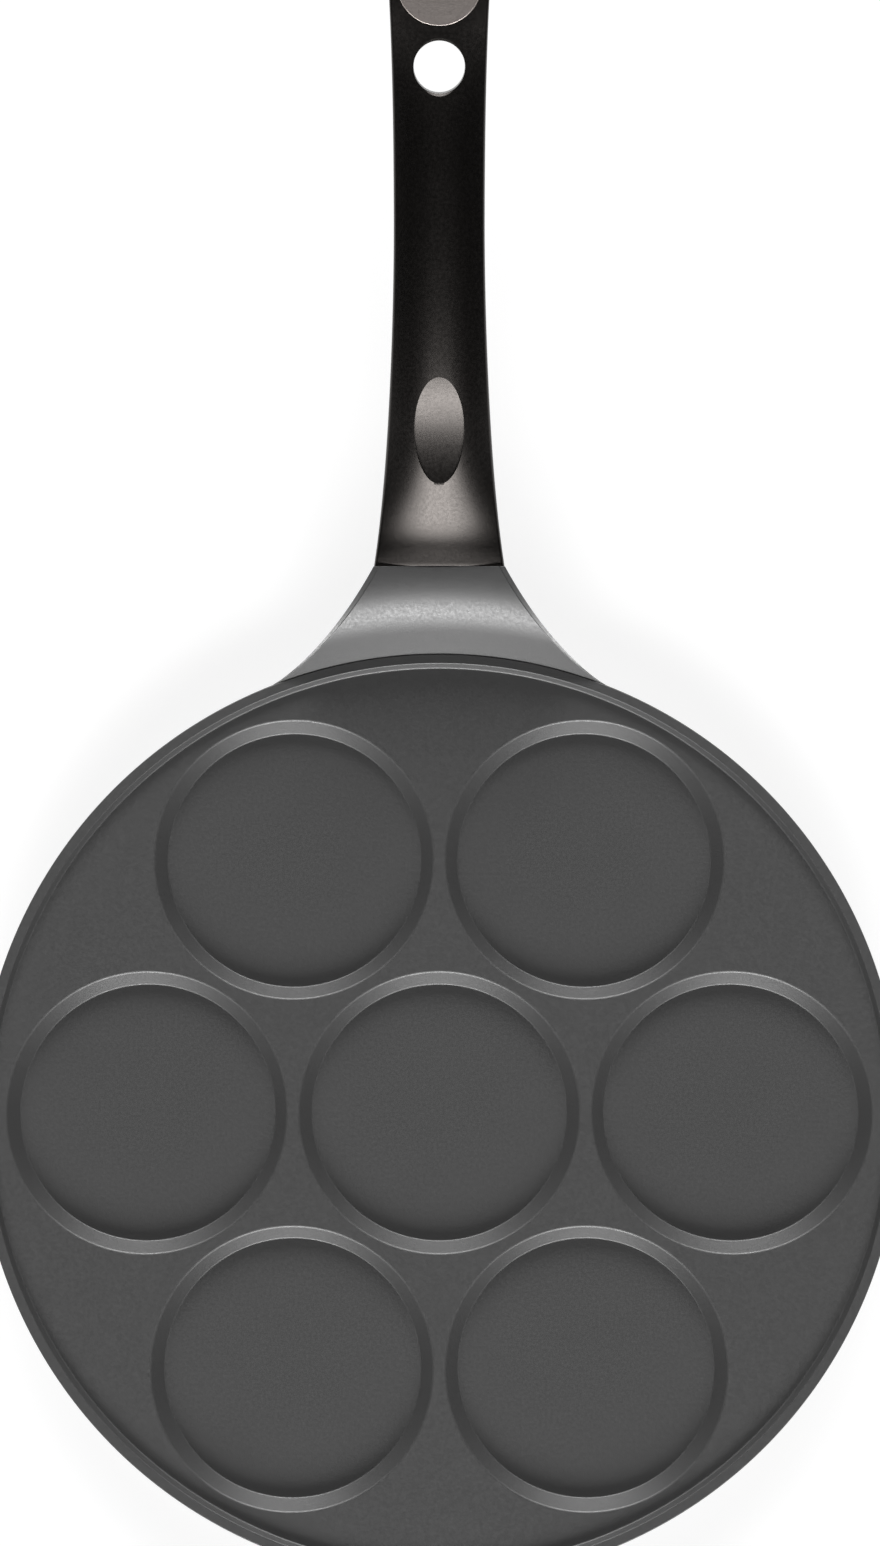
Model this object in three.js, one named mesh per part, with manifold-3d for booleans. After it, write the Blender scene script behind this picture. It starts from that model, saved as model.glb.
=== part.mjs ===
// A pancake pan: an aluminium casting with seven shallow rounds, and a moulded handle on its neck.
// Millimetres, +Z up. The pan turns about Z, its base lies on z = 0 and the handle runs out along +Y.
import * as THREE from "three";
import { mergeVertices } from "three/addons/utils/BufferGeometryUtils.js";
import Module from "manifold-3d";

const degrees = THREE.MathUtils.degToRad;
const point = (x, y) => new THREE.Vector2(x, y);

// Pan
const panRadius = 130; // at the rim
const panHeight = 14;
const wallDraft = degrees(15);
const baseCornerRadius = 10;
const machinedRadius = 110; // the bare base, turned flat
const baseStep = 0.4; // how far it stands below the coated corner
const rimInnerRadius = 127.5;
const plateRadius = 126.2; // at the foot of the rim's inner wall
const plateHeight = 11.6; // the cooking plate, above the base
const edgeBreak = 0.4; // at the rim and at the top of each round
const footRadius = 0.8; // where the rim's inner wall and the rounds' walls meet their floors
const panSegments = 96;

// Rounds
const ringCount = 6; // around one in the middle
const roundSpacing = 82.6;
const roundTopRadius = 39.6;
const roundFloorRadius = 36.2;
const roundDepth = 4.15;
const roundSegments = 48;

// Neck, cast with the pan
const neckEnd = 152.7; // the face that the handle meets, from the pan's axis
const neckEndWidth = 36.8;
const neckFoot = 130.2; // where its top leaves the rim
const neckSteepness = degrees(51.5); // of its top there
const neckShoulderStart = 135.3;
const neckShoulderRadius = 26;
const neckEndSlope = degrees(7);
const neckTaper = degrees(32); // of each side at the handle's end
const neckFlareAngle = degrees(25); // where each side runs out along the pan, from the handle's axis
const neckSink = 0.6; // how deep the flare runs into the pan's wall
const neckSideSteps = 12;
const neckUnderEnd = 12;
const neckUnderRoot = 3.4;
const neckRootRadius = 116;
const neckCorner = 6; // rounds the lower edges at the handle's end
const neckLayers = 12;

// Tongue, cast with the neck, inside the handle
const tongueWidth = 19;
const tongueThickness = 6.4;
const tongueLength = 33;
const tongueRise = degrees(31.5);
const tongueStartHeight = 22.2;
const tongueCorner = 2;

// Handle
const fit = 0.3; // the gap between pieces that meet
const handleStart = neckEnd + fit;
const handleEndCentre = 299.2;
const handleEndRadius = 13.4;
const handleEndSlope = degrees(20);
const waist = 242; // where the grip is narrowest
const crestDip = 254; // where its top climbs least
const sectionPoints = 36;
const gripStations = 30;
const endStations = 8;
const endTurn = degrees(88); // stops just short of a point
const endRoundness = 6; // how squarely the top rolls over at the end
const rootCrown = 50; // radius of its top, across the handle
const gripCrown = 13.35;
const endCrown = 70;
const rootCrownEnd = 208; // where it has become the grip's
const endCrownStart = 264; // where it begins to flatten towards the badge
const crownGrowth = 1.1; // over 1: it changes slowly at first
const underSquareness = 2.6; // exponent of its underside: 2 is half an ellipse
const rootTop = 30.7; // a little above the neck at its middle, below it at its sides
const rootSlope = degrees(25);
const rootEnd = 157.5; // its top climbs straight as far as this
const halfWidthToWaist = new THREE.CubicBezierCurve(
  point(handleStart, 18.4),
  point(187.5, 12.7),
  point(230, 12.3),
  point(waist, 12.3),
);
const halfWidthToEnd = new THREE.CubicBezierCurve(
  point(waist, 12.3),
  point(284, 12.3),
  point(298, handleEndRadius),
  point(handleEndCentre, handleEndRadius),
);
const topToDip = new THREE.CubicBezierCurve(
  point(rootEnd, rootTop + (rootEnd - handleStart) * Math.tan(rootSlope)),
  point(171, 38.5),
  point(183.9, 60.6),
  point(crestDip, 78.6),
);
const topToEnd = new THREE.CubicBezierCurve(
  point(crestDip, 78.6),
  point(264, 81),
  point(275, 84.2),
  point(315, 98.8),
);
const underToDip = new THREE.CubicBezierCurve(
  point(handleStart, 12.4),
  point(168.5, 12.6),
  point(178.5, 40.4),
  point(crestDip, 61.4),
);
const underToEnd = new THREE.CubicBezierCurve(
  point(crestDip, 61.4),
  point(268, 65.1),
  point(288, 73.5),
  point(315, 84.7),
);

// Thumb recess, an oval with a floor that curves along the handle
const thumbCentre = 186.6;
const thumbWidth = 13.7;
const thumbLength = 31;
const thumbFloorRadius = 63;
const thumbDepth = 2.7;

// Hang hole
const hangCentre = 278.4;
const hangRadius = 6.9;
const hangChamfer = 0.7;

// Badge disc
const badgeRadius = 11.4;
const badgeThickness = 1.6;
const badgeChamfer = 0.4;
const badgeProud = -0.2; // its middle lies a little below the handle's crest

// Handle screw and its spring washer
const screwAlongTongue = 17;
const screwRadius = 2.5;
const screwReach = 3; // past the tongue's middle
const headRadius = 4.6;
const headHeight = 2.6;
const headSlotWidth = 1.3;
const headSlotDepth = 1.4;
const seatWall = 1.5; // moulding between the tongue's socket and the washer's seat
const counterboreRadius = 5.6;
const washerOuterRadius = 4.6;
const washerInnerRadius = 2.9;
const washerThickness = 1;
const washerSplit = degrees(14);

const wasm = await Module();
wasm.setup();

function solidOf(geometry) {
  const bare = geometry.clone();
  bare.deleteAttribute("normal");
  bare.deleteAttribute("uv");
  const merged = mergeVertices(bare, 1e-4);
  const corners = merged.index.array;
  const triangles = [];
  for (let i = 0; i < corners.length; i += 3) {
    const [a, b, c] = corners.slice(i, i + 3);
    if (a !== b && b !== c && c !== a) triangles.push(a, b, c);
  }
  const mesh = new wasm.Mesh({
    numProp: 3,
    vertProperties: merged.attributes.position.array,
    triVerts: new Uint32Array(triangles),
  });
  return new wasm.Manifold(mesh);
}

function geometryOf(solid) {
  const { vertProperties, triVerts } = solid.getMesh();
  const geometry = new THREE.BufferGeometry();
  geometry.setAttribute("position", new THREE.BufferAttribute(vertProperties, 3));
  geometry.setIndex(new THREE.BufferAttribute(triVerts, 1));
  geometry.computeVertexNormals();
  return geometry;
}

// A profile of radius and height, turned about Z.
function turned(profile, segments, curveSteps = 6) {
  const points = profile.getPoints(curveSteps);
  return new THREE.LatheGeometry(points, segments).rotateX(Math.PI / 2);
}

function roundedBar(width, thickness, length, corner) {
  const x = width / 2;
  const y = thickness / 2;
  const shape = new THREE.Shape();
  shape.absarc(x - corner, y - corner, corner, 0, Math.PI / 2);
  shape.absarc(corner - x, y - corner, corner, Math.PI / 2, Math.PI);
  shape.absarc(corner - x, corner - y, corner, Math.PI, Math.PI * 1.5);
  shape.absarc(x - corner, corner - y, corner, Math.PI * 1.5, Math.PI * 2);
  const settings = { depth: length, bevelEnabled: false, curveSegments: 3 };
  return new THREE.ExtrudeGeometry(shape, settings).rotateX(-Math.PI / 2);
}

function upright(radius, bottom, top, segments) {
  const height = top - bottom;
  const cylinder = new THREE.CylinderGeometry(radius, radius, height, segments);
  return cylinder.rotateX(Math.PI / 2).translate(0, 0, (bottom + top) / 2);
}

// A closed skin over rings of points, each clockwise as seen from the next one.
function lofted(rings) {
  const count = rings[0].length;
  const middleOf = (ring) =>
    ring.reduce((sum, p) => sum.add(p), new THREE.Vector3()).divideScalar(count);
  const points = [...rings.flat(), middleOf(rings[0]), middleOf(rings.at(-1))];
  const lastRing = (rings.length - 1) * count;
  const startMiddle = points.length - 2;
  const endMiddle = points.length - 1;
  const faces = [];
  for (let j = 0; j < count; j += 1) {
    const k = (j + 1) % count;
    faces.push(startMiddle, j, k, endMiddle, lastRing + k, lastRing + j);
    for (let ring = 0; ring < lastRing; ring += count) {
      const next = ring + count;
      faces.push(ring + j, next + j, ring + k, ring + k, next + j, next + k);
    }
  }
  return new THREE.BufferGeometry().setFromPoints(points).setIndex(faces);
}

// The value of a curve whose points run forwards in x.
function valueAt(curve, x) {
  let low = 0;
  let high = 1;
  for (let step = 0; step < 40; step += 1) {
    const middle = (low + high) / 2;
    if (curve.getPoint(middle).x < x) low = middle;
    else high = middle;
  }
  return curve.getPoint(low).y;
}

// Pan body
const cornerCentre = baseStep + baseCornerRadius;
const wallFootHeight = cornerCentre - baseCornerRadius * Math.sin(wallDraft);
const wallFootRadius = panRadius - (panHeight - edgeBreak - wallFootHeight) * Math.tan(wallDraft);
const baseRadius = wallFootRadius - baseCornerRadius * Math.cos(wallDraft);

function panBlank() {
  const profile = new THREE.Path();
  profile.moveTo(0, 0);
  profile.lineTo(machinedRadius - baseStep, 0);
  profile.lineTo(machinedRadius, baseStep);
  profile.lineTo(baseRadius, baseStep);
  profile.absarc(baseRadius, cornerCentre, baseCornerRadius, -Math.PI / 2, -wallDraft);
  profile.lineTo(panRadius, panHeight - edgeBreak);
  profile.lineTo(panRadius - edgeBreak, panHeight);
  profile.lineTo(0, panHeight);
  return solidOf(turned(profile, panSegments, 3));
}

function wallRadiusAt(height) {
  const belowCentre = cornerCentre - height;
  return height < wallFootHeight
    ? baseRadius + Math.sqrt(baseCornerRadius ** 2 - belowCentre ** 2)
    : Math.min(panRadius, wallFootRadius + (height - wallFootHeight) * Math.tan(wallDraft));
}

// A shallow round hollow: the plate inside its rim, or one of the rounds in the plate.
function dish(topRadius, floorRadius, floor, top, segments) {
  const above = 1;
  const wallAngle = Math.atan2(topRadius - floorRadius, top - floor);
  const footStart = floorRadius - footRadius * Math.tan((Math.PI / 2 - wallAngle) / 2);
  const profile = new THREE.Path();
  profile.moveTo(0, floor);
  profile.lineTo(footStart, floor);
  profile.absarc(footStart, floor + footRadius, footRadius, -Math.PI / 2, -wallAngle);
  profile.lineTo(topRadius - edgeBreak * Math.tan(wallAngle), top - edgeBreak);
  profile.lineTo(topRadius + edgeBreak, top);
  profile.lineTo(topRadius + edgeBreak, top + above);
  profile.lineTo(0, top + above);
  return solidOf(turned(profile, segments, 1));
}

// The neck's side view, turned about the pan's axis: its top climbs steeply off the rim and rounds
// over to the handle, and its underside lifts to meet the handle.
const shoulderFoot = panHeight + (neckShoulderStart - neckFoot) * Math.tan(neckSteepness);
const shoulderCentre = point(
  neckShoulderStart + neckShoulderRadius * Math.sin(neckSteepness),
  shoulderFoot - neckShoulderRadius * Math.cos(neckSteepness),
);
const shoulderEnd = point(
  shoulderCentre.x - neckShoulderRadius * Math.sin(neckEndSlope),
  shoulderCentre.y + neckShoulderRadius * Math.cos(neckEndSlope),
);
const neckTop = shoulderEnd.y + (neckEnd - shoulderEnd.x) * Math.tan(neckEndSlope);

function neckShoulder() {
  const past = 4; // it is turned past the end face, which the neck's outline then cuts
  const underSlope = (neckUnderEnd - neckUnderRoot) / (neckEnd - panRadius);
  const profile = new THREE.Path();
  profile.moveTo(neckRootRadius, neckUnderRoot);
  profile.quadraticCurveTo(panRadius, neckUnderRoot, neckEnd, neckUnderEnd);
  profile.lineTo(neckEnd + past, neckUnderEnd + past * underSlope);
  profile.lineTo(neckEnd + past, neckTop + past * Math.tan(neckEndSlope));
  profile.absarc(
    shoulderCentre.x,
    shoulderCentre.y,
    neckShoulderRadius,
    Math.PI / 2 + neckEndSlope,
    Math.PI / 2 + neckSteepness,
  );
  profile.lineTo(neckFoot, panHeight);
  profile.lineTo(neckRootRadius, panHeight / 2);
  profile.lineTo(neckRootRadius, neckUnderRoot);
  return solidOf(turned(profile, panSegments, 6));
}

// The neck's outline at one height, from its left flare round the end face to its right flare.
// Each side is a curve that leaves the end face at the taper and runs out along the pan's wall.
function neckOutline(height) {
  const below = Math.max(0, neckUnderEnd + neckCorner - height);
  const roundedOff = neckCorner - Math.sqrt(Math.max(0, neckCorner ** 2 - below ** 2));
  const corner = point(neckEndWidth / 2 - roundedOff, neckEnd);
  const onPan = point(Math.sin(neckFlareAngle), Math.cos(neckFlareAngle));
  onPan.multiplyScalar(wallRadiusAt(height) - neckSink);
  const sideWay = point(Math.sin(neckTaper), -Math.cos(neckTaper));
  const panWay = point(Math.cos(neckFlareAngle), -Math.sin(neckFlareAngle));
  const reach = onPan.clone().sub(corner).cross(panWay) / sideWay.cross(panWay);
  const bend = corner.clone().addScaledVector(sideWay, reach);
  const right = new THREE.QuadraticBezierCurve(corner, bend, onPan).getPoints(neckSideSteps);
  const left = right.map((p) => point(-p.x, p.y)).reverse();
  return [...left, ...right].map((p) => new THREE.Vector3(p.x, p.y, height));
}

function neck() {
  const rings = [];
  for (let i = 0; i <= neckLayers; i += 1) {
    rings.push(neckOutline(THREE.MathUtils.lerp(neckUnderRoot - 1, neckTop + 1, i / neckLayers)));
  }
  return neckShoulder().intersect(solidOf(lofted(rings)));
}

// The tongue's own frame: Y along it from the neck's end, Z towards the handle's top.
function onTongue(geometry) {
  return geometry.rotateX(tongueRise).translate(0, neckEnd, tongueStartHeight);
}

function tongue(clearance) {
  const inside = 8;
  const bar = roundedBar(
    tongueWidth + 2 * clearance,
    tongueThickness + 2 * clearance,
    tongueLength + inside + clearance,
    tongueCorner,
  );
  return solidOf(onTongue(bar.translate(0, -inside, 0)));
}

// A round hole or shank on the screw's axis, between two heights in the tongue's frame.
function onScrew(radius, bottom, top, segments = 24) {
  return onTongue(upright(radius, bottom, top, segments).translate(0, screwAlongTongue, 0));
}

function panBody() {
  let body = panBlank().add(neck()).add(tongue(0));
  body = body.subtract(dish(rimInnerRadius, plateRadius, plateHeight, panHeight, panSegments));
  const roundFloor = plateHeight - roundDepth;
  const cutter = dish(roundTopRadius, roundFloorRadius, roundFloor, plateHeight, roundSegments);
  body = body.subtract(cutter);
  for (let i = 0; i < ringCount; i += 1) {
    const angle = (i / ringCount) * Math.PI * 2;
    const place = [roundSpacing * Math.cos(angle), roundSpacing * Math.sin(angle), 0];
    body = body.subtract(cutter.translate(place));
  }
  const tapped = onScrew(screwRadius + fit, -tongueThickness, tongueThickness);
  return geometryOf(body.subtract(solidOf(tapped)));
}

// Handle
// A ring round the handle, upright or leaning back to stand square to the grip. Its top is an arc that
// ends at the widest line, and its underside hangs from there.
function section(y, halfWidth, bottom, top, crown, lean) {
  const middle = (bottom + top) / 2;
  const crownHeight = (across) => top - crown + Math.sqrt(crown ** 2 - across ** 2);
  const widest = crownHeight(halfWidth);
  const ring = [];
  for (let i = 0; i < sectionPoints; i += 1) {
    const angle = (i / sectionPoints) * Math.PI * 2;
    const cosine = Math.cos(angle);
    const sine = Math.sin(angle);
    const onTop = sine >= 0;
    const power = onTop ? 1 : 2 / underSquareness;
    const across = halfWidth * Math.sign(cosine) * Math.abs(cosine) ** power;
    const height = onTop ? crownHeight(across) : widest - (widest - bottom) * Math.abs(sine) ** power;
    const rise = (height - middle) * Math.cos(lean);
    ring.push(new THREE.Vector3(across, y - rise * Math.sin(lean), middle + rise * Math.cos(lean)));
  }
  return ring;
}

function halfWidthAt(y) {
  return valueAt(y < waist ? halfWidthToWaist : halfWidthToEnd, y);
}

function topAt(y) {
  if (y < rootEnd) return rootTop + (y - handleStart) * Math.tan(rootSlope);
  return valueAt(y < crestDip ? topToDip : topToEnd, y);
}

function underAt(y) {
  return valueAt(y < crestDip ? underToDip : underToEnd, y);
}

function slopeAt(y) {
  const step = 0.5;
  return Math.atan2(topAt(y + step) - topAt(y - step), 2 * step);
}

// The crown's radius, found by mixing curvatures.
function crownAt(y) {
  const { lerp, smoothstep } = THREE.MathUtils;
  const alongRoot = Math.min(1, (y - handleStart) / (rootCrownEnd - handleStart));
  const fromRoot = lerp(1 / rootCrown, 1 / gripCrown, alongRoot ** crownGrowth);
  return 1 / lerp(fromRoot, 1 / endCrown, smoothstep(y, endCrownStart, handleEndCentre));
}

function handleBlank() {
  const { lerp, smoothstep } = THREE.MathUtils;
  const rings = [];
  for (let i = 0; i <= gripStations; i += 1) {
    const y = lerp(handleStart, handleEndCentre, i / gripStations);
    const lean = handleEndSlope * smoothstep(y, waist, hangCentre);
    rings.push(section(y, halfWidthAt(y), underAt(y), topAt(y), crownAt(y), lean));
  }
  for (let i = 1; i <= endStations; i += 1) {
    const turn = (endTurn * i) / endStations;
    const y = handleEndCentre + handleEndRadius * Math.sin(turn) * Math.cos(handleEndSlope);
    const middle = (underAt(y) + topAt(y)) / 2;
    const shrink = (1 - Math.sin(turn) ** endRoundness) ** (1 / endRoundness);
    const half = (topAt(y) - middle) * shrink;
    const halfWidth = handleEndRadius * Math.cos(turn);
    rings.push(section(y, halfWidth, middle - half, middle + half, endCrown, handleEndSlope));
  }
  return solidOf(lofted(rings));
}

// A frame on the handle's crest: Y along the crest, Z square to it.
function onCrest(geometry, y) {
  return geometry.rotateX(slopeAt(y)).translate(0, y, topAt(y));
}

function thumbRecess() {
  const oval = new THREE.Shape();
  oval.absellipse(0, 0, thumbWidth / 2, thumbLength / 2, 0, Math.PI * 2);
  const settings = { depth: thumbFloorRadius, bevelEnabled: false, curveSegments: 16 };
  const column = new THREE.ExtrudeGeometry(oval, settings).translate(0, 0, -thumbDepth - 1);
  const roller = new THREE.CylinderGeometry(thumbFloorRadius, thumbFloorRadius, thumbWidth * 2, 160);
  roller.rotateZ(Math.PI / 2).translate(0, 0, thumbFloorRadius - thumbDepth);
  return solidOf(onCrest(column, thumbCentre)).intersect(solidOf(onCrest(roller, thumbCentre)));
}

function hangHole() {
  const past = 4;
  const underside = (underAt(hangCentre) - topAt(hangCentre)) * Math.cos(slopeAt(hangCentre));
  const profile = new THREE.Path();
  profile.moveTo(0, underside - past);
  profile.lineTo(hangRadius + hangChamfer + past, underside - past);
  profile.lineTo(hangRadius, underside + hangChamfer);
  profile.lineTo(hangRadius, -hangChamfer);
  profile.lineTo(hangRadius + hangChamfer + past, past);
  profile.lineTo(0, past);
  return solidOf(onCrest(turned(profile, 40), hangCentre));
}

const seatHeight = -tongueThickness / 2 - fit - seatWall;

function handle() {
  const badgeFloor = badgeProud - badgeThickness - fit;
  const badgeSeat = upright(badgeRadius + fit, badgeFloor, badgeFloor + 8, 48);
  const counterbore = onScrew(counterboreRadius, seatHeight - 20, seatHeight);
  const screwWay = onScrew(screwRadius + fit, seatHeight - 1, screwReach + fit);
  const cuts = [
    thumbRecess(),
    hangHole(),
    tongue(fit),
    solidOf(onCrest(badgeSeat, handleEndCentre)),
    solidOf(counterbore),
    solidOf(screwWay),
  ];
  return geometryOf(cuts.reduce((left, cut) => left.subtract(cut), handleBlank()));
}

// Badge disc
function badgeDisc() {
  const bottom = badgeProud - badgeThickness;
  const profile = new THREE.Path();
  profile.moveTo(0, bottom);
  profile.lineTo(badgeRadius, bottom);
  profile.lineTo(badgeRadius, badgeProud - badgeChamfer);
  profile.lineTo(badgeRadius - badgeChamfer, badgeProud);
  profile.lineTo(0, badgeProud);
  return geometryOf(solidOf(onCrest(turned(profile, 48), handleEndCentre)));
}

// Screw and washer
const washerTop = seatHeight - fit / 3;
const headTop = washerTop - washerThickness - fit / 3;

function handleScrew() {
  const head = solidOf(onScrew(headRadius, headTop - headHeight, headTop, 32));
  const shank = solidOf(onScrew(screwRadius, headTop - headHeight / 2, screwReach));
  const slot = new THREE.BoxGeometry(headSlotWidth, 4 * headRadius, 2 * headSlotDepth);
  slot.translate(0, screwAlongTongue, headTop - headHeight);
  return geometryOf(head.add(shank).subtract(solidOf(onTongue(slot))));
}

function lockWasher() {
  const shape = new THREE.Shape();
  shape.absarc(0, 0, washerOuterRadius, washerSplit / 2, Math.PI * 2 - washerSplit / 2);
  shape.absarc(0, 0, washerInnerRadius, Math.PI * 2 - washerSplit / 2, washerSplit / 2, true);
  const settings = { depth: washerThickness, bevelEnabled: false, curveSegments: 16 };
  const ring = new THREE.ExtrudeGeometry(shape, settings);
  ring.translate(0, screwAlongTongue, washerTop - washerThickness);
  return geometryOf(solidOf(onTongue(ring)));
}

function named(name, geometry, color, roughness, metalness) {
  const material = new THREE.MeshStandardMaterial({ color, roughness, metalness });
  const mesh = new THREE.Mesh(geometry, material);
  mesh.name = name;
  return mesh;
}

const pancakePan = new THREE.Group();
pancakePan.name = "pancake_pan";
pancakePan.add(
  named("pan_body", panBody(), 0x50504f, 0.5, 0.3),
  named("handle", handle(), 0x171615, 0.38, 0),
  named("badge_disc", badgeDisc(), 0x8a847f, 0.35, 0.9),
  named("handle_screw", handleScrew(), 0xa9a9a7, 0.3, 1),
  named("lock_washer", lockWasher(), 0xa9a9a7, 0.35, 1),
);

export default pancakePan;
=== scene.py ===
"""A pancake pan seen from above: a coated casting with seven rounds, and a black handle on its neck."""
import math

import bmesh
import bpy
import numpy as np
from mathutils import Matrix, Vector


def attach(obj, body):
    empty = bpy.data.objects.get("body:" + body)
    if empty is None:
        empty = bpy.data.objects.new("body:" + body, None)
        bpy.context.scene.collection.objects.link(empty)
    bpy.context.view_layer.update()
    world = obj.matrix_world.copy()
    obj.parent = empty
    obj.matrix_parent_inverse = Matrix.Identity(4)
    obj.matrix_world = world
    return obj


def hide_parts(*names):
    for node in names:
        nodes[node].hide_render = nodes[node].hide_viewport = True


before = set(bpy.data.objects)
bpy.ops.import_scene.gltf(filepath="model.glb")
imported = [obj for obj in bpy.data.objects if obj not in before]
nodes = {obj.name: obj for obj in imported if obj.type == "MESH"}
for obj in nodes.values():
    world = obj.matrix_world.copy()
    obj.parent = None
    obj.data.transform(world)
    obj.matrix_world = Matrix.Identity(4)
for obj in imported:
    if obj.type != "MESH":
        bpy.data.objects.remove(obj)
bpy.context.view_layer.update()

# Sizes are in millimetres, as in the CAD model, and meshes are made in metres.
mm = 0.001
quarter = math.pi / 2
edge_steps = 8  # along a rounded edge
small_edge_steps = 6  # along the tongue's corners and the badge's edge
joint_edge_steps = 5  # along the edges where the neck and the handle meet
curve_steps = 800  # along a curve that points are read from
crease_angle = math.radians(38)  # edges at least this sharp are shaded as creases

# Pan
pan_radius = 130  # at the rim
pan_height = 14
wall_draft = math.radians(15)
base_corner_radius = 10
base_corner_steps = 16
machined_radius = 110  # the bare base, turned flat
base_step = 0.4  # how far it stands below the coated corner
rim_inner_radius = 127.2
plate_radius = 126.2  # at the foot of the rim's inner wall
plate_height = 11.6  # the cooking plate, above the base
rim_edge_radius = 0.35
foot_radius = 0.6  # where the rim's inner wall and the rounds' walls meet their floors
pan_segments = 320

# Rounds
ring_count = 6  # around one in the middle
round_spacing = 82.6
round_top_radius = 39.6
round_floor_radius = 36.2
round_depth = 4.45
round_edge_radius = 1.1
round_segments = 176

# Neck, cast with the pan
neck_end = 152.7  # the face that the handle meets, from the pan's axis
neck_end_width = 36.8
neck_foot = 130.2  # where its top leaves the rim
neck_steepness = math.radians(52.2)  # of its top there
neck_shoulder_start = 135.3
neck_shoulder_radius = 26
neck_end_slope = math.radians(7)
neck_taper = math.radians(28.7)  # of each side at the handle's end
neck_flare_angle = math.radians(25)  # where each side runs out along the pan, from the handle's axis
neck_sink = 0.6  # how deep the flare runs into the pan's wall
neck_under_end = 12
neck_under_root = 3.4
neck_root = 112  # inside the pan, where the neck starts
neck_sunk_from = 124  # its top keeps level up to here, under the plate
neck_corner = 6  # rounds the lower edges at the handle's end
neck_edge_radius = 0.25
neck_end_edge_radius = 0.12
neck_rings = 72
neck_under_steps = 8  # from the middle below out to the side
neck_side_steps = 24
neck_top_steps = 24  # from the side in to the middle above

# Tongue, cast with the neck, inside the handle
tongue_width = 19
tongue_thickness = 6.4
tongue_length = 33
tongue_rise = math.radians(31.5)
tongue_start_height = 22.2
tongue_corner = 2

# Handle
fit = 0.3  # the gap round the tongue and the screw, and under the badge
joint_gap = 0.05  # between the neck and the handle, which touch
handle_start = neck_end + joint_gap
handle_end_centre = 299.2
handle_end_radius = 13.4
handle_end_slope = math.radians(20)
waist = 242  # where the grip is narrowest
crest_dip = 254  # where its top climbs least
end_turn = math.radians(89)  # stops just short of a point
end_roundness = 5.5  # how squarely the top rolls over at the end
root_crown = 95  # radius of its top, across the handle
grip_crown = 13.35
end_crown = 70
root_crown_end = 190  # where it has become the grip's
end_crown_start = 264  # where it begins to flatten towards the badge
flank_slope = math.tan(math.radians(50))  # that the crown's flanks tend to
under_squareness = 2.6  # exponent of its underside: 2 is half an ellipse
root_edge_radius = 0.2
root_top = 30.7
root_slope = math.radians(25)
root_end = 157.5  # its top climbs straight as far as this
root_end_top = root_top + (root_end - handle_start) * math.tan(root_slope)
half_width_to_waist = [(handle_start, 18.4), (187.5, 12.7), (230, 12.3), (waist, 12.3)]
half_width_to_end = [
    (waist, 12.3),
    (284, 12.3),
    (298, handle_end_radius),
    (handle_end_centre, handle_end_radius),
]
top_to_dip = [(root_end, root_end_top), (171, 38.5), (183.9, 60.6), (crest_dip, 78.6)]
top_to_end = [(crest_dip, 78.6), (264, 81), (275, 84.2), (315, 98.8)]
under_to_dip = [(handle_start, 12.4), (168.5, 12.6), (178.5, 40.4), (crest_dip, 61.4)]
under_to_end = [(crest_dip, 61.4), (268, 65.1), (288, 73.5), (315, 84.7)]
section_half = 128  # points over its top, and as many under it
handle_rings = 180
end_rings = 36

# Thumb recess, an oval with a floor that curves along the handle
thumb_centre = 186.6
thumb_half_width = 6.85
thumb_half_length = 15.5
thumb_floor_radius = 63
thumb_depth = 2.8
thumb_low_point = 0.8  # up the handle from the oval's middle
thumb_segments = 192
drum_segments = 720

# Hang hole and badge
hang_centre = 278.4
hang_radius = 6.9
hang_chamfer = 0.7
hole_segments = 128
badge_radius = 11.4
badge_thickness = 1.6
badge_edge = 0.25
badge_proud = -0.27  # its middle lies a little below the handle's crest

# Screw and its seat in the handle
screw_along_tongue = 17
screw_radius = 2.5
screw_reach = 3  # past the tongue's middle
seat_wall = 1.5  # moulding between the tongue's socket and the washer's seat
counterbore_radius = 5.6
counterbore_reach = 20  # from the seat out through the handle's underside
bore_segments = 48

# Camera, from the photograph
camera_side = 0.2
camera_foot = 23  # along the handle's line from the pan's axis
camera_height = 911.6
camera_aim = 96.1  # the point on the plate's level that it looks at, along the same line
view_angle = math.radians(27.39)


# Mesh helpers
def mesh_object(name, points, faces):
    mesh = bpy.data.meshes.new(name)
    mesh.from_pydata((np.asarray(points) * mm).tolist(), [], faces)
    mesh.update()
    piece = bpy.data.objects.new(name, mesh)
    bpy.context.scene.collection.objects.link(piece)
    return piece


def edit(piece, change):
    """Runs one change on a piece's mesh."""
    work = bmesh.new()
    work.from_mesh(piece.data)
    change(work)
    work.to_mesh(piece.data)
    work.free()
    piece.data.update()


def face_outwards(work):
    bmesh.ops.recalc_face_normals(work, faces=work.faces)


def lofted(name, rings):
    """A closed skin over rings of points, with flat ends."""
    count = len(rings[0])
    last = (len(rings) - 1) * count
    faces = [tuple(range(count)), tuple(range(last, last + count))]
    for ring in range(0, last, count):
        for i in range(count):
            after = (i + 1) % count
            faces.append((ring + i, ring + after, ring + count + after, ring + count + i))
    piece = mesh_object(name, np.concatenate(rings), faces)
    edit(piece, face_outwards)
    return piece


def turned(name, profile, segments, centre=0):
    """A profile of radius and height, turned about an upright axis on the handle's line."""
    angles = np.arange(segments) / segments * 2 * math.pi
    rings = []
    for radius, height in profile:
        across = radius * np.cos(angles)
        along = centre + radius * np.sin(angles)
        rings.append(np.stack([across, along, np.full(segments, height)], axis=1))
    return lofted(name, rings)


def arc(middle, height, radius, start, end, steps):
    """Points of radius and height on an arc."""
    angles = np.linspace(start, end, steps + 1)
    return [(middle + radius * math.cos(a), height + radius * math.sin(a)) for a in angles]


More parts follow.
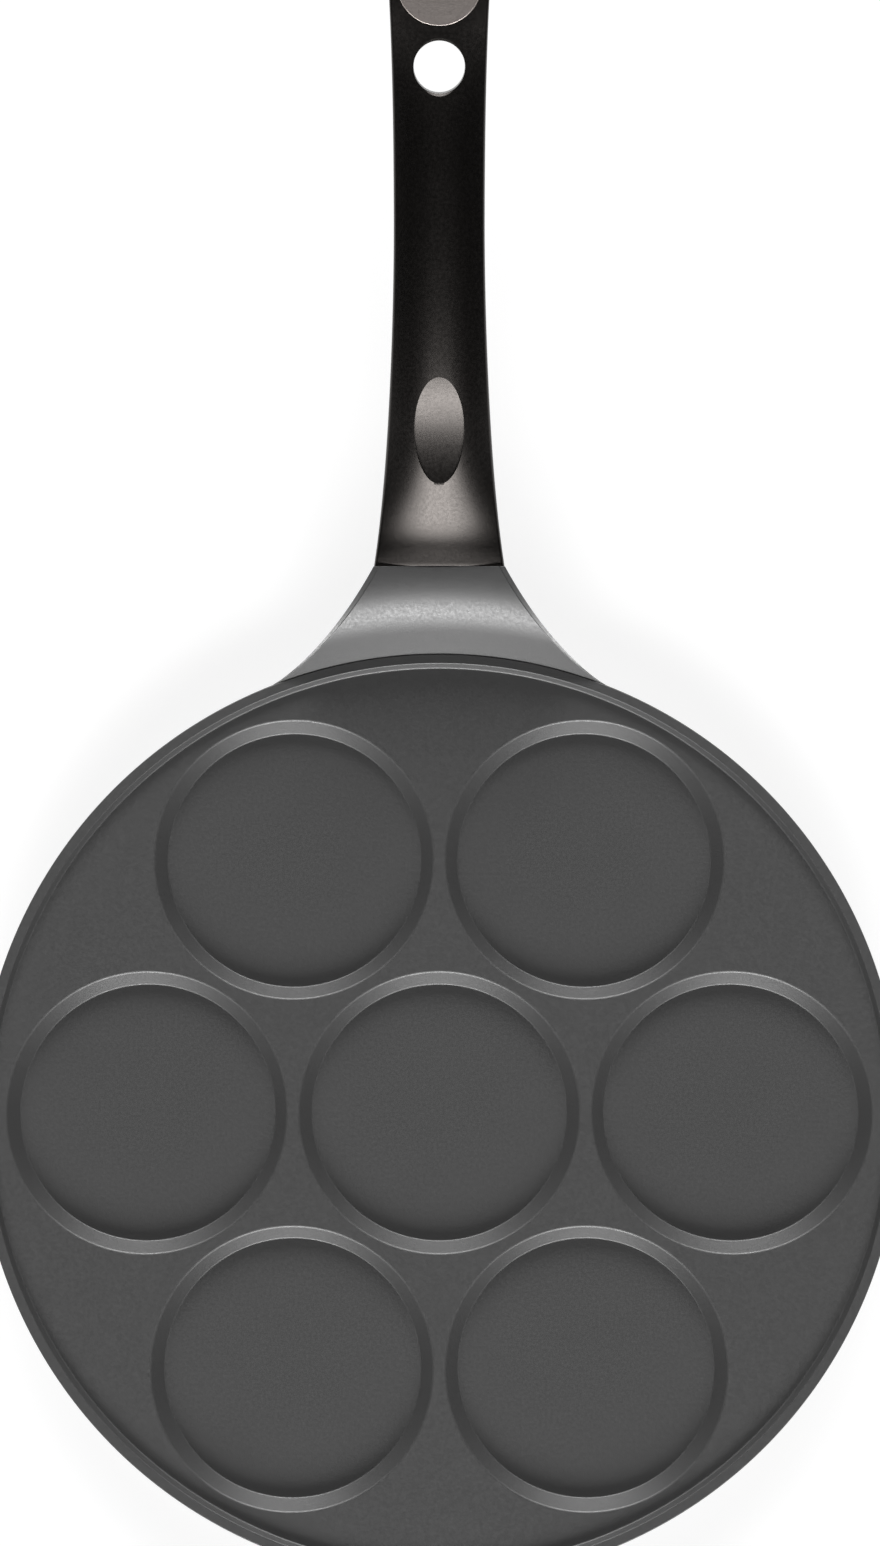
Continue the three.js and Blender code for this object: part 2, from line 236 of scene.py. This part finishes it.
def evaluated_mesh(piece):
    """Bakes a piece's modifiers into its mesh."""
    graph = bpy.context.evaluated_depsgraph_get()
    baked = bpy.data.meshes.new_from_object(piece.evaluated_get(graph))
    piece.modifiers.clear()
    piece.data = baked


def combine(piece, other, operation):
    modifier = piece.modifiers.new("combine", "BOOLEAN")
    modifier.solver = "EXACT"
    modifier.operation = operation
    modifier.object = other
    evaluated_mesh(piece)
    bpy.data.objects.remove(other)


def cut(piece, *cutters):
    for cutter in cutters:
        combine(piece, cutter, "DIFFERENCE")


def join(piece, *others):
    for other in others:
        combine(piece, other, "UNION")


def mark_creases(work):
    """Welds what the cuts left split, drops slivers, and marks each edge as smooth or as a crease."""
    weld = 0.002
    sliver = 0.001
    bmesh.ops.remove_doubles(work, verts=work.verts, dist=weld * mm)
    bmesh.ops.dissolve_degenerate(work, edges=work.edges, dist=sliver * mm)
    for face in work.faces:
        face.smooth = True
    for edge in work.edges:
        edge.smooth = len(edge.link_faces) == 2 and edge.calc_face_angle() < crease_angle


def smooth(piece):
    """Shades a piece smoothly, apart from its creases, with flat faces kept flat."""
    large_faces_lead = 100
    edit(piece, mark_creases)
    modifier = piece.modifiers.new("normals", "WEIGHTED_NORMAL")
    modifier.keep_sharp = True
    modifier.weight = large_faces_lead
    evaluated_mesh(piece)


def bezier(points):
    """A cubic curve as arrays of its forwards and its sideways values."""
    t = np.linspace(0, 1, curve_steps)[:, None]
    a, b, c, d = np.array(points, float)
    curve = (1 - t) ** 3 * a + 3 * (1 - t) ** 2 * t * b + 3 * (1 - t) * t**2 * c + t**3 * d
    return curve[:, 0], curve[:, 1]


def smoothstep(x, low, high):
    t = np.clip((x - low) / (high - low), 0, 1)
    return t * t * (3 - 2 * t)


# Pan casting
corner_centre = base_step + base_corner_radius
wall_foot_height = corner_centre - base_corner_radius * math.sin(wall_draft)
wall_foot_radius = pan_radius - (pan_height - rim_edge_radius - wall_foot_height) * math.tan(wall_draft)
base_radius = wall_foot_radius - base_corner_radius * math.cos(wall_draft)


def pan_blank():
    base_corner = (base_radius, corner_centre, base_corner_radius)
    rim_edge = (pan_radius - rim_edge_radius, pan_height - rim_edge_radius, rim_edge_radius)
    profile = [(machined_radius - base_step, 0), (machined_radius, base_step)]
    profile += arc(*base_corner, -quarter, -wall_draft, base_corner_steps)
    profile += arc(*rim_edge, -wall_draft, quarter, edge_steps)
    return turned("pan_casting", profile, pan_segments)


def wall_radius_at(height):
    if height < wall_foot_height:
        return base_radius + math.sqrt(base_corner_radius**2 - (corner_centre - height) ** 2)
    return min(pan_radius, wall_foot_radius + (height - wall_foot_height) * math.tan(wall_draft))


def dish(top_radius, floor_radius, floor, top, edge_radius, segments):
    """The cutter for a shallow round hollow with a rounded upper edge and foot."""
    above = 3
    slope = math.atan2(top - floor, top_radius - floor_radius)
    turn = slope / 2
    foot_start = floor_radius - foot_radius * math.tan(turn)
    edge_start = top_radius + edge_radius * math.tan(turn)
    foot = (foot_start, floor + foot_radius, foot_radius)
    edge = (edge_start, top - edge_radius, edge_radius)
    profile = arc(*foot, -quarter, slope - quarter, edge_steps)
    profile += arc(*edge, slope + quarter, quarter, edge_steps)
    profile.append((edge_start, top + above))
    return turned("dish", profile, segments)


shoulder_foot_height = pan_height + (neck_shoulder_start - neck_foot) * math.tan(neck_steepness)
shoulder_centre = neck_shoulder_start + neck_shoulder_radius * math.sin(neck_steepness)
shoulder_centre_height = shoulder_foot_height - neck_shoulder_radius * math.cos(neck_steepness)
shoulder_end = shoulder_centre - neck_shoulder_radius * math.sin(neck_end_slope)
shoulder_end_height = shoulder_centre_height + neck_shoulder_radius * math.cos(neck_end_slope)


def shoulder(radius):
    """Height of the neck's top, which is round about the pan's axis: steep, rounding over, easy."""
    if radius > shoulder_end:
        return shoulder_end_height + (radius - shoulder_end) * math.tan(neck_end_slope)
    if radius > neck_shoulder_start:
        run = shoulder_centre - radius
        return shoulder_centre_height + math.sqrt(neck_shoulder_radius**2 - run**2)
    return pan_height + (max(radius, neck_sunk_from) - neck_foot) * math.tan(neck_steepness)


def neck_under(y):
    t = np.clip((y - neck_root) / (neck_end - neck_root), 0, 1)
    return neck_under_root + (neck_under_end - neck_under_root) * t**2


def neck_half_width(y, height):
    """The neck's side at one height: straight from the end face, then out along the pan's wall."""
    below = max(0, neck_under_end + neck_corner - height)
    rounded_off = neck_corner - math.sqrt(max(0, neck_corner**2 - below**2))
    corner = np.array([neck_end_width / 2 - rounded_off, neck_end])
    wall = wall_radius_at(height) - neck_sink
    on_pan = wall * np.array([math.sin(neck_flare_angle), math.cos(neck_flare_angle)])
    if y <= on_pan[1]:
        return math.sqrt(wall**2 - y**2)
    side_way = np.array([math.sin(neck_taper), -math.cos(neck_taper)])
    pan_way = np.array([math.cos(neck_flare_angle), -math.sin(neck_flare_angle)])
    reach, _ = np.linalg.solve(np.stack([side_way, -pan_way], axis=1), on_pan - corner)
    bend = corner + side_way * reach
    a = corner[1] - 2 * bend[1] + on_pan[1]
    b = 2 * (bend[1] - corner[1])
    c = corner[1] - y
    t = 2 * c / (-b + math.sqrt(max(0, b * b - 4 * a * c)))
    return corner[0] * (1 - t) ** 2 + bend[0] * 2 * t * (1 - t) + on_pan[0] * t**2


def neck_section(y):
    """One half of the neck across the handle's line, from the middle below to the middle above."""
    step = 0.1
    bottom = neck_under(y)
    bottom_edge = neck_half_width(y, bottom)
    edge = neck_half_width(y, pan_height)
    slant = (neck_half_width(y - step, pan_height) - edge) / step
    inset = neck_edge_radius * math.hypot(1, slant)
    side_top = shoulder(math.hypot(edge, y)) - neck_edge_radius
    half = [(x, bottom) for x in np.linspace(0, bottom_edge, neck_under_steps + 1)[:-1]]
    for share in np.linspace(0, 1, neck_side_steps + 1) ** 2:
        height = bottom + (side_top - bottom) * share
        half.append((neck_half_width(y, height), height))
    for turn in np.linspace(0, quarter, edge_steps + 1)[1:]:
        x = edge - inset * (1 - math.cos(turn))
        half.append((x, shoulder(math.hypot(x, y)) - neck_edge_radius * (1 - math.sin(turn))))
    x_last = half[-1][0]
    for x in np.linspace(x_last, 0, neck_top_steps + 1)[1:]:
        half.append((x, shoulder(math.hypot(x, y))))
    return half


def both_sides(half, y):
    """A ring of points from one half of a section, mirrored across the handle's line."""
    left = [(-x, z) for x, z in reversed(half[1:-1])]
    return np.array([(x, y, z) for x, z in half + left])


def neck():
    stations = np.linspace(neck_root, neck_end - neck_end_edge_radius, neck_rings)
    rings = [both_sides(neck_section(y), y) for y in stations]
    last = rings[-1]
    middle = (last.min(axis=0) + last.max(axis=0)) / 2
    reach = (last.max(axis=0) - last.min(axis=0)) / 2
    for turn in np.linspace(0, quarter, joint_edge_steps + 1)[1:]:
        inset = neck_end_edge_radius * (1 - math.cos(turn))
        ring = last.copy()
        ring[:, 0] *= 1 - inset / reach[0]
        ring[:, 2] = middle[2] + (ring[:, 2] - middle[2]) * (1 - inset / reach[2])
        ring[:, 1] += neck_end_edge_radius * math.sin(turn)
        rings.append(ring)
    return lofted("neck", rings)


def rounded_bar(name, width, thickness, stretch, corner):
    """A bar along Y with rounded long edges. The stretch gives where it starts and ends."""
    x = width / 2 - corner
    z = thickness / 2 - corner
    outline = []
    for i, (side, level) in enumerate([(x, z), (-x, z), (-x, -z), (x, -z)]):
        outline += arc(side, level, corner, quarter * i, quarter * (i + 1), small_edge_steps)
    return lofted(name, [np.array([(a, y, b) for a, b in outline]) for y in stretch])


def shift(x, y, z):
    return Matrix.Translation(Vector((x, y, z)) * mm)


def on_tongue(piece):
    """Moves a piece from the tongue's own frame, Y along it, into place."""
    place = shift(0, neck_end, tongue_start_height)
    piece.data.transform(place @ Matrix.Rotation(tongue_rise, 4, "X"))
    return piece


def tongue(clearance):
    inside = 8
    stretch = (-inside, tongue_length + clearance)
    width = tongue_width + 2 * clearance
    thickness = tongue_thickness + 2 * clearance
    return on_tongue(rounded_bar("tongue", width, thickness, stretch, tongue_corner))


def on_screw(radius, bottom, top):
    """The cutter for a round hole on the screw's axis."""
    profile = [(radius, bottom), (radius, top)]
    return on_tongue(turned("bore", profile, bore_segments, screw_along_tongue))


def pan_casting():
    piece = pan_blank()
    join(piece, neck(), tongue(0))
    rim_size = (rim_inner_radius, plate_radius, plate_height, pan_height)
    cut(piece, dish(*rim_size, rim_edge_radius, pan_segments))
    round_floor = plate_height - round_depth
    round_size = (round_top_radius, round_floor_radius, round_floor, plate_height)
    places = [(0, 0)]
    for i in range(ring_count):
        angle = i / ring_count * 2 * math.pi
        places.append((round_spacing * math.cos(angle), round_spacing * math.sin(angle)))
    for x, y in places:
        cutter = dish(*round_size, round_edge_radius, round_segments)
        cutter.data.transform(shift(x, y, 0))
        cut(piece, cutter)
    cut(piece, on_screw(screw_radius + fit, -tongue_thickness, tongue_thickness))
    smooth(piece)
    return piece


# Handle
def half_width_at(y):
    return np.interp(y, *bezier(half_width_to_waist if y < waist else half_width_to_end))


def top_at(y):
    if y < root_end:
        return root_top + (y - handle_start) * math.tan(root_slope)
    return np.interp(y, *bezier(top_to_dip if y < crest_dip else top_to_end))


def under_at(y):
    return np.interp(y, *bezier(under_to_dip if y < crest_dip else under_to_end))


def slope_at(y):
    step = 0.5
    return math.atan2(top_at(y + step) - top_at(y - step), 2 * step)


def crown_at(y):
    """The radius of the handle's top across it, found by mixing curvatures."""
    along_root = smoothstep(y, handle_start, root_crown_end)
    at_end = smoothstep(y, end_crown_start, handle_end_centre)
    curvature = (1 - along_root) / root_crown + along_root / grip_crown
    return 1 / (curvature * (1 - at_end) + at_end / end_crown)


def on_crest(piece, y):
    """Moves a piece onto the handle's crest: its Y along the crest and its Z square to it."""
    piece.data.transform(shift(0, y, top_at(y)) @ Matrix.Rotation(slope_at(y), 4, "X"))
    return piece


def softened(values):
    """Averages each point of a ring with its neighbours, which rounds the ring's corners."""
    reach = 3
    return sum(np.roll(values, k) for k in range(-reach, reach + 1)) / (2 * reach + 1)


def section(y, half_width, bottom, top, crown, lean=0.0):
    """A ring of points round the handle, upright or leaning back: a crown with easy flanks above its
    widest line, and an underside that hangs from there."""
    across = half_width * np.linspace(1, -1, section_half, endpoint=False)
    bend = crown * flank_slope**2
    over = top + bend - np.hypot(bend, flank_slope * across)
    widest = over[0]
    sweep = np.linspace(math.pi, 2 * math.pi, curve_steps)
    power = 2 / under_squareness
    under_x = half_width * np.sign(np.cos(sweep)) * np.abs(np.cos(sweep)) ** power
    under_z = widest - (widest - bottom) * np.abs(np.sin(sweep)) ** power
    length = np.concatenate([[0], np.cumsum(np.hypot(np.diff(under_x), np.diff(under_z)))])
    even = np.linspace(0, length[-1], section_half, endpoint=False)
    x = softened(np.concatenate([across, np.interp(even, length, under_x)]))
    z = softened(np.concatenate([over, np.interp(even, length, under_z)]))
    middle = (top + bottom) / 2
    rise = (z - middle) * math.cos(lean)
    x *= half_width / x.max()
    return np.stack([x, y - rise * math.sin(lean), middle + rise * math.cos(lean)], axis=1)


def handle_blank():
    first = handle_start + root_edge_radius
    stations = np.linspace(first, handle_end_centre, handle_rings, endpoint=False)
    rings = []
    for turn in np.linspace(0, quarter, joint_edge_steps + 1)[:-1]:
        y = handle_start + root_edge_radius * (1 - math.cos(turn))
        inset = root_edge_radius * (1 - math.sin(turn))
        size = (half_width_at(y) - inset, under_at(y) + inset, top_at(y) - inset)
        rings.append(section(y, *size, crown_at(y)))
    for y in stations:
        lean = handle_end_slope * smoothstep(y, waist, hang_centre)
        rings.append(section(y, half_width_at(y), under_at(y), top_at(y), crown_at(y), lean))
    for turn in np.linspace(0, end_turn, end_rings):
        y = handle_end_centre + handle_end_radius * math.sin(turn) * math.cos(handle_end_slope)
        middle = (under_at(y) + top_at(y)) / 2
        half = (top_at(y) - middle) * (1 - math.sin(turn) ** end_roundness) ** (1 / end_roundness)
        half_width = handle_end_radius * math.cos(turn)
        size = (half_width, middle - half, middle + half)
        rings.append(section(y, *size, end_crown, handle_end_slope))
    return lofted("handle_moulding", rings)


def thumb_recess():
    """The cutter for the recess: an oval prism with a floor that is an arc along the handle."""
    above = 12
    prism = turned("thumb_recess", [(1, -above), (1, above)], thumb_segments)
    prism.data.transform(Matrix.Diagonal((thumb_half_width, thumb_half_length, 1, 1)))
    drum = turned("drum", [(thumb_floor_radius, -above), (thumb_floor_radius, above)], drum_segments)
    middle = shift(0, thumb_low_point, thumb_floor_radius - thumb_depth)
    drum.data.transform(middle @ Matrix.Rotation(quarter, 4, "Y"))
    combine(prism, drum, "INTERSECT")
    return on_crest(prism, thumb_centre)


def hang_hole():
    past = 4
    underside = (under_at(hang_centre) - top_at(hang_centre)) * math.cos(slope_at(hang_centre))
    mouth = hang_radius + hang_chamfer + past
    profile = [
        (mouth, underside - past),
        (hang_radius, underside + hang_chamfer),
        (hang_radius, -hang_chamfer),
        (mouth, past),
    ]
    return on_crest(turned("hang_hole", profile, hole_segments), hang_centre)


def badge_seat():
    height = 8
    radius = badge_radius + fit / 2
    floor = badge_proud - badge_thickness - fit
    profile = [(radius, floor), (radius, floor + height)]
    return on_crest(turned("badge_seat", profile, hole_segments), handle_end_centre)


def handle_moulding():
    overlap = 1
    seat = -tongue_thickness / 2 - fit - seat_wall
    piece = handle_blank()
    cut(
        piece,
        thumb_recess(),
        hang_hole(),
        badge_seat(),
        tongue(fit),
        on_screw(counterbore_radius, seat - counterbore_reach, seat),
        on_screw(screw_radius + fit, seat - overlap, screw_reach + fit),
    )
    smooth(piece)
    return piece


def badge():
    edge = (badge_radius - badge_edge, badge_proud - badge_edge, badge_edge)
    profile = [(badge_radius, badge_proud - badge_thickness)]
    profile += arc(*edge, 0, quarter, small_edge_steps)
    piece = on_crest(turned("badge", profile, hole_segments), handle_end_centre)
    smooth(piece)
    return piece


# Materials
def material(name, colour, roughness, metallic=0.0):
    made = bpy.data.materials.new(name)
    made.use_nodes = True
    shader = made.node_tree.nodes["Principled BSDF"]
    shader.inputs["Base Color"].default_value = (*colour, 1)
    shader.inputs["Roughness"].default_value = roughness
    shader.inputs["Metallic"].default_value = metallic
    return made, made.node_tree, shader


def noise(tree, scale):
    place = tree.nodes.new("ShaderNodeTexCoord")
    texture = tree.nodes.new("ShaderNodeTexNoise")
    texture.inputs["Scale"].default_value = scale
    tree.links.new(place.outputs["Object"], texture.inputs["Vector"])
    return texture.outputs["Fac"]


def spread(tree, value, low, high):
    """Maps the values that noise mostly has to a range."""
    noise_low = 0.3
    noise_high = 0.7
    node = tree.nodes.new("ShaderNodeMapRange")
    node.inputs["From Min"].default_value = noise_low
    node.inputs["From Max"].default_value = noise_high
    node.inputs["To Min"].default_value = low
    node.inputs["To Max"].default_value = high
    tree.links.new(value, node.inputs["Value"])
    return node.outputs["Result"]


def mottle(tree, shader, value, dark, light):
    """Varies a material's colour between two tones."""
    node = tree.nodes.new("ShaderNodeMix")
    node.data_type = "RGBA"
    node.inputs["A"].default_value = (*dark, 1)
    node.inputs["B"].default_value = (*light, 1)
    tree.links.new(value, node.inputs["Factor"])
    tree.links.new(node.outputs["Result"], shader.inputs["Base Color"])


def bump(tree, shader, value, height):
    """Gives a material a fine relief of the given height."""
    node = tree.nodes.new("ShaderNodeBump")
    node.inputs["Strength"].default_value = 1
    node.inputs["Distance"].default_value = height * mm
    tree.links.new(value, node.inputs["Height"])
    tree.links.new(node.outputs["Normal"], shader.inputs["Normal"])


def coated_aluminium():
    made, tree, shader = material("coated_aluminium", (0.069, 0.069, 0.069), 0.45)
    shader.inputs["IOR"].default_value = 1.85
    mottle(tree, shader, noise(tree, 90), (0.066, 0.066, 0.066), (0.072, 0.072, 0.072))
    tree.links.new(spread(tree, noise(tree, 1250), 0.39, 0.51), shader.inputs["Roughness"])
    bump(tree, shader, noise(tree, 1150), 0.012)
    return made


def black_phenolic():
    made, tree, shader = material("black_phenolic", (0.0014, 0.0013, 0.0012), 0.34)
    shader.inputs["IOR"].default_value = 1.56
    shader.inputs["Specular Tint"].default_value = (1, 0.92, 0.87, 1)
    mottle(tree, shader, noise(tree, 200), (0.0012, 0.0011, 0.001), (0.0016, 0.0015, 0.0014))
    tree.links.new(spread(tree, noise(tree, 1250), 0.3, 0.38), shader.inputs["Roughness"])
    bump(tree, shader, noise(tree, 1150), 0.0075)
    return made


def satin_metal():
    made, tree, shader = material("satin_metal", (0.58, 0.52, 0.49), 0.38, 1.0)
    mottle(tree, shader, noise(tree, 300), (0.56, 0.5, 0.47), (0.6, 0.54, 0.51))
    tree.links.new(spread(tree, noise(tree, 2500), 0.35, 0.42), shader.inputs["Roughness"])
    return made


def plated_steel():
    made, tree, shader = material("plated_steel", (0.6, 0.6, 0.58), 0.3, 1.0)
    mottle(tree, shader, noise(tree, 400), (0.57, 0.57, 0.55), (0.63, 0.63, 0.61))
    tree.links.new(spread(tree, noise(tree, 3000), 0.26, 0.36), shader.inputs["Roughness"])
    return made


def machined_aluminium():
    """The base, turned flat on a lathe: fine rings about the pan's axis."""
    made, tree, shader = material("machined_aluminium", (0.75, 0.75, 0.76), 0.32, 1.0)
    place = tree.nodes.new("ShaderNodeTexCoord")
    rings = tree.nodes.new("ShaderNodeTexWave")
    rings.wave_type = "RINGS"
    rings.rings_direction = "Z"
    rings.inputs["Scale"].default_value = 260
    rings.inputs["Distortion"].default_value = 0.4
    tree.links.new(place.outputs["Object"], rings.inputs["Vector"])
    bump(tree, shader, rings.outputs["Fac"], 0.006)
    mottle(tree, shader, noise(tree, 60), (0.72, 0.72, 0.73), (0.77, 0.77, 0.78))
    return made


# Studio
light_elevation = math.radians(24.9)
light_height = math.radians(25.2)  # how large each lamp looks from the pan
light_spread = math.radians(15.6)  # from each lamp to the next
lamps = (-1, 0, 1)
front_strength = 3.74
back_strength = 3.0
room_light = 0.015
horizon_light = 0.25
horizon_low = math.radians(1)
horizon_high = math.radians(8)
floor_reach = 40000
floor_grey = 0.33
floor_lift = 0.77  # light that only the camera and reflections see, which makes it white


def floor():
    """A wide white floor that keeps the pan's shadow."""
    r = floor_reach
    corners = [(-r, -r, 0), (r, -r, 0), (r, r, 0), (-r, r, 0)]
    piece = mesh_object("floor", corners, [(0, 1, 2, 3)])
    made = bpy.data.materials.new("white_floor")
    made.use_nodes = True
    tree = made.node_tree
    tree.nodes.clear()
    white = tree.nodes.new("ShaderNodeBsdfDiffuse")
    white.inputs["Color"].default_value = (floor_grey, floor_grey, floor_grey, 1)
    path = tree.nodes.new("ShaderNodeLightPath")
    seen = tree.nodes.new("ShaderNodeMath")
    seen.operation = "MAXIMUM"
    tree.links.new(path.outputs["Is Camera Ray"], seen.inputs[0])
    tree.links.new(path.outputs["Is Glossy Ray"], seen.inputs[1])
    either = tree.nodes.new("ShaderNodeMath")
    either.operation = "MAXIMUM"
    tree.links.new(seen.outputs[0], either.inputs[0])
    tree.links.new(path.outputs["Is Transmission Ray"], either.inputs[1])
    lift = tree.nodes.new("ShaderNodeMath")
    lift.operation = "MULTIPLY"
    lift.inputs[1].default_value = floor_lift
    tree.links.new(either.outputs[0], lift.inputs[0])
    glow = tree.nodes.new("ShaderNodeEmission")
    tree.links.new(lift.outputs[0], glow.inputs["Strength"])
    both = tree.nodes.new("ShaderNodeAddShader")
    tree.links.new(white.outputs[0], both.inputs[0])
    tree.links.new(glow.outputs[0], both.inputs[1])
    output = tree.nodes.new("ShaderNodeOutputMaterial")
    tree.links.new(both.outputs[0], output.inputs["Surface"])
    piece.data.materials.append(made)


def softbox(name, towards, strength):
    """A wide soft light far away, low in front of the pan (-1) or behind the handle (1)."""
    for side in lamps:
        lamp = bpy.data.lights.new(name, "SUN")
        lamp.energy = strength / len(lamps)
        lamp.angle = light_height
        piece = bpy.data.objects.new(name, lamp)
        bpy.context.scene.collection.objects.link(piece)
        azimuth = side * light_spread
        level = math.cos(light_elevation)
        way = Vector((
            -level * math.sin(azimuth),
            -towards * level * math.cos(azimuth),
            -math.sin(light_elevation),
        ))
        piece.rotation_euler = way.to_track_quat("-Z", "Y").to_euler()


def room():
    """A dim room, a little lighter where it meets the floor."""
    world = bpy.data.worlds.new("studio")
    world.use_nodes = True
    bpy.context.scene.world = world
    tree = world.node_tree
    place = tree.nodes.new("ShaderNodeTexCoord")
    parts = tree.nodes.new("ShaderNodeSeparateXYZ")
    tree.links.new(place.outputs["Generated"], parts.inputs[0])
    fade = tree.nodes.new("ShaderNodeMapRange")
    fade.interpolation_type = "SMOOTHSTEP"
    fade.inputs["From Min"].default_value = math.sin(horizon_low)
    fade.inputs["From Max"].default_value = math.sin(horizon_high)
    fade.inputs["To Min"].default_value = horizon_light
    fade.inputs["To Max"].default_value = room_light
    tree.links.new(parts.outputs["Z"], fade.inputs["Value"])
    tree.links.new(fade.outputs["Result"], tree.nodes["Background"].inputs["Strength"])
    tree.nodes["Background"].inputs["Color"].default_value = (1, 1, 1, 1)


def camera():
    data = bpy.data.cameras.new("camera")
    data.lens = data.sensor_width / 2 / math.tan(view_angle / 2)
    piece = bpy.data.objects.new("camera", data)
    bpy.context.scene.collection.objects.link(piece)
    piece.location = Vector((camera_side, camera_foot, camera_height)) * mm
    aim = Vector((camera_side, camera_aim, plate_height)) * mm
    piece.rotation_euler = (aim - piece.location).to_track_quat("-Z", "Y").to_euler()
    bpy.context.scene.camera = piece


# The dressed part
def dress(piece, node, slot, *materials):
    """Puts a finished piece in its solid's stead, with its materials."""
    piece.data.materials.clear()
    for made in materials:
        piece.data.materials.append(made)
    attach(piece, "root")
    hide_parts(node)


def bare_the_base(piece):
    """The flat faces that the pan stands on get its second material, bare metal."""
    straight_down = -0.99
    bare = 1
    for face in piece.data.polygons:
        if face.normal.z < straight_down and face.center.z < base_step / 4 * mm:
            face.material_index = bare


casting = pan_casting()
dress(casting, "pan_body", "coated_aluminium", coated_aluminium(), machined_aluminium())
bare_the_base(casting)
dress(handle_moulding(), "handle", "black_phenolic", black_phenolic())
dress(badge(), "badge_disc", "satin_metal", satin_metal())
plated = plated_steel()
for name in ("handle_screw", "lock_washer"):
    nodes[name].data.materials.clear()
    nodes[name].data.materials.append(plated)

floor()
softbox("front_light", -1, front_strength)
softbox("back_light", 1, back_strength)
room()
camera()
bpy.context.scene.view_settings.view_transform = "Standard"
